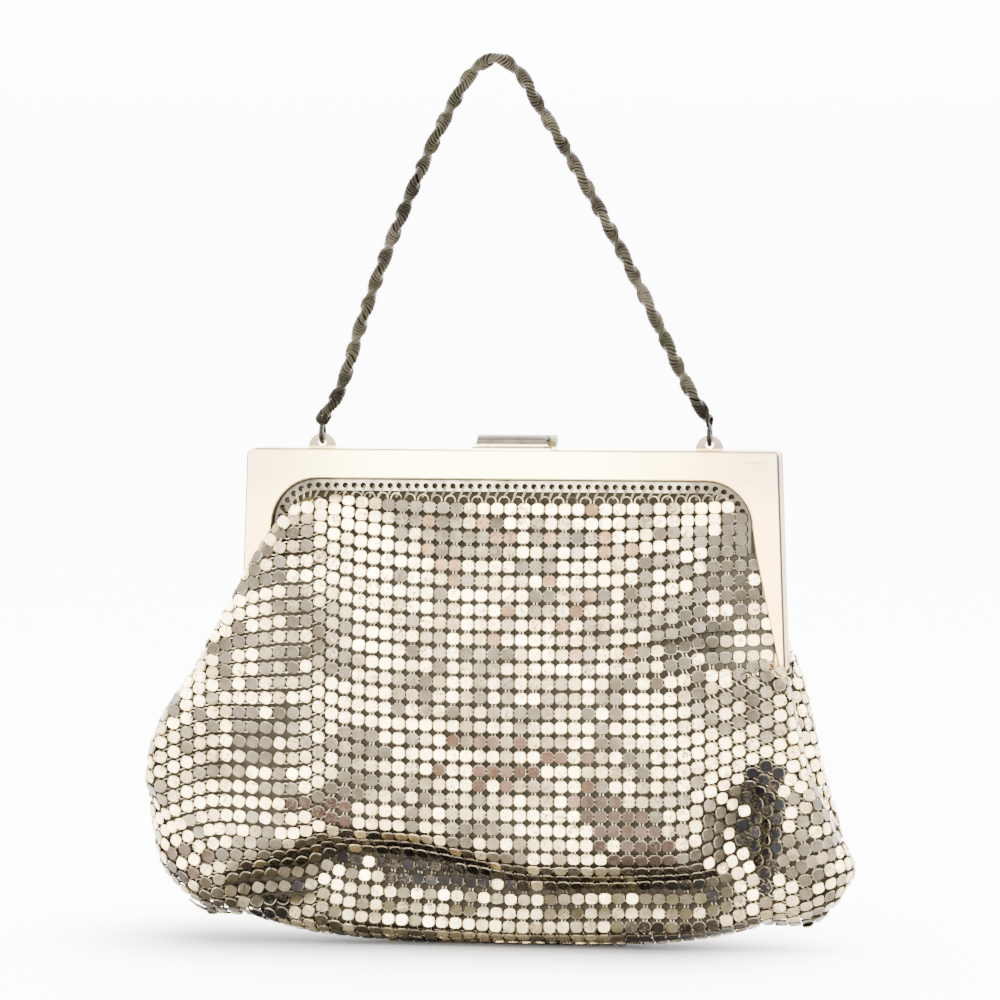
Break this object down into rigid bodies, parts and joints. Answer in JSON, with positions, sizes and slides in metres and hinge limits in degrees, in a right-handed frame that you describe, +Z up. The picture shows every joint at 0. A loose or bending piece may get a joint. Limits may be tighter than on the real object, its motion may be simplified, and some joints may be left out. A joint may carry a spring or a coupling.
{
  "type": "metal mesh purse",
  "caption": "Metal mesh evening purse on a square-shouldered frame with a flip clasp on top, held up by its rope chain.",
  "frame": {"origin": "top of the chain, in the middle of its thickness, where the purse hangs", "axes": "+Z up, +X to the right as seen from the front, -Y the front of the purse"},
  "size_m": [0.1402, 0.0253, 0.1747],
  "materials": {
    "frame": "satin plated metal, lightly scratched",
    "rail": "dull plated metal",
    "clasp": "satin plated metal",
    "chain": "tarnished",
    "mesh": "bright plates, worn to copper in places",
    "lining": "matte cloth"
  },
  "bodies": {
    "purse": {"front_frame": "frame", "back_frame": "frame", "front_rail": "rail", "back_rail": "rail", "left_hinge_rivet": "frame", "right_hinge_rivet": "frame", "clasp_pin": "clasp", "left_end_ring": "chain", "right_end_ring": "chain", "chain": "chain", "mesh_bag": "mesh", "lining": "lining"},
    "clasp_lever": {"clasp_lever": "clasp"}
  },
  "joints": [
    {"name": "clasp_hinge", "type": "hinge", "parent": "purse", "child": "clasp_lever", "pos_m": [0.0034, 0.0042, -0.0751], "axis": [-1, 0, 0], "range_deg": [0, 55]}
  ]
}
